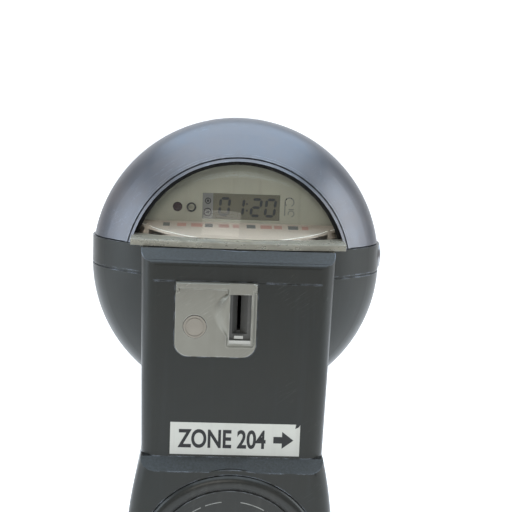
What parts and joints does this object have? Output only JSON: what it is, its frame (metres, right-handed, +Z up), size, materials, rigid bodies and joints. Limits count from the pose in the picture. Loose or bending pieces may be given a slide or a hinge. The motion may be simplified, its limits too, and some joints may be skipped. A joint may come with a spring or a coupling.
{
  "type": "parking meter",
  "caption": "Single-space parking meter head: domed casing with window and display, boxed neck with coin slot, and a round-doored coin vault on a pole collar.",
  "frame": {"origin": "centre of the post socket's mouth, on the underside of the collar", "axes": "+Z up the post, -Y out of the front face, +X to the right of a person facing the meter"},
  "size_m": [0.2084, 0.1715, 0.4439],
  "materials": {
    "housing_paint": "satin",
    "dome_paint": "satin",
    "door_paint": "satin",
    "coin_plate_metal": "satin",
    "stainless": "brushed",
    "zinc_steel": "zinc plated",
    "can_metal": "spun",
    "lock_brass": "satin",
    "black_rubber": "matte",
    "clear_window": "clear polycarbonate",
    "label_film": "printed film",
    "dark_plastic": "moulded",
    "copper_coil": "enamelled wire",
    "face_plastic": "moulded",
    "strip_plastic": "printed film",
    "display_glass": "reflective liquid crystal",
    "lamp_lens": "tinted",
    "board_green": "solder mask",
    "cell_sleeve": "shrink sleeve"
  },
  "bodies": {
    "housing": {"lower_housing": "housing_paint", "vault_housing": "housing_paint", "neck_bolts": "zinc_steel", "collar_set_screws": "zinc_steel", "dome_seal": "black_rubber", "hinge_pin": "stainless", "dome_lock_body": "stainless", "dome_lock_nut": "zinc_steel", "coin_plate": "coin_plate_metal", "coin_plate_screws": "zinc_steel", "coin_slot_insert": "stainless", "button_carrier": "dark_plastic", "direction_label": "label_film", "coin_chute_left": "dark_plastic", "coin_chute_right": "dark_plastic", "coin_sensor_coils": "copper_coil", "coin_funnel": "dark_plastic", "mechanism_frame": "zinc_steel", "module_screws": "zinc_steel", "faceplate": "face_plastic", "display_module": "display_glass", "status_lamp": "lamp_lens", "light_sensor": "face_plastic", "rate_strip": "strip_plastic", "main_circuit_board": "board_green", "board_spacers": "zinc_steel", "battery_cells": "cell_sleeve", "battery_tray": "dark_plastic", "rear_plate": "face_plastic", "rear_lamps": "lamp_lens"},
    "dome": {"dome_cover": "dome_paint", "lock_keeper": "zinc_steel", "front_window": "clear_window", "front_gasket": "black_rubber", "front_retainer": "zinc_steel", "rear_window": "clear_window", "rear_gasket": "black_rubber", "rear_retainer": "zinc_steel", "retainer_screws": "zinc_steel"},
    "dome_lock": {"dome_lock_plug": "lock_brass", "dome_lock_cam": "zinc_steel"},
    "button": {"coin_button": "coin_plate_metal", "button_spring": "stainless"},
    "door": {"vault_door": "door_paint", "door_seal": "black_rubber", "bolt_guide": "zinc_steel", "guide_screws": "zinc_steel", "vault_lock_body": "stainless"},
    "vault_lock": {"vault_lock_plug": "lock_brass", "vault_lock_cam": "zinc_steel"},
    "bolt_left": {"left_bolt": "stainless"},
    "bolt_right": {"right_bolt": "stainless"},
    "can": {"coin_can": "can_metal", "can_lid": "can_metal", "can_handle": "zinc_steel"}
  },
  "joints": [
    {"name": "dome_hinge", "type": "hinge", "parent": "housing", "child": "dome", "pos_m": [0, 0.077, 0.3575], "axis": [-1, 0, 0], "range_deg": [0, 100]},
    {"name": "dome_lock_turn", "type": "hinge", "parent": "housing", "child": "dome_lock", "pos_m": [0.095, 0, 0.34775], "axis": [1, 0, 0], "range_deg": [0, 90]},
    {"name": "coin_button_press", "type": "slide", "parent": "housing", "child": "button", "axis": [0, 1, 0], "range_m": [0, 0.003], "stiffness_N_per_m": 400, "springref_m": -0.002, "deforming": ["button_spring"]},
    {"name": "vault_door_pull", "type": "slide", "parent": "housing", "child": "door", "axis": [0, -1, 0], "range_m": [0, 0.14]},
    {"name": "vault_lock_turn", "type": "hinge", "parent": "door", "child": "vault_lock", "pos_m": [0, -0.08, 0.144], "axis": [0, 1, 0], "range_deg": [0, 90]},
    {"name": "left_bolt_slide", "type": "slide", "parent": "door", "child": "bolt_left", "axis": [-1, 0, 0], "range_m": [0, 0.007]},
    {"name": "right_bolt_slide", "type": "slide", "parent": "door", "child": "bolt_right", "axis": [1, 0, 0], "range_m": [0, 0.007]},
    {"name": "coin_can_slide", "type": "slide", "parent": "housing", "child": "can", "axis": [0, -1, 0], "range_m": [0, 0.14]}
  ],
  "couplings": [
    {"joint": "left_bolt_slide", "follows": "vault_lock_turn", "m_per_rad": 0.0044559},
    {"joint": "right_bolt_slide", "follows": "vault_lock_turn", "m_per_rad": 0.0044559},
    {"joint": "coin_can_slide", "follows": "vault_door_pull", "ratio": 1}
  ]
}
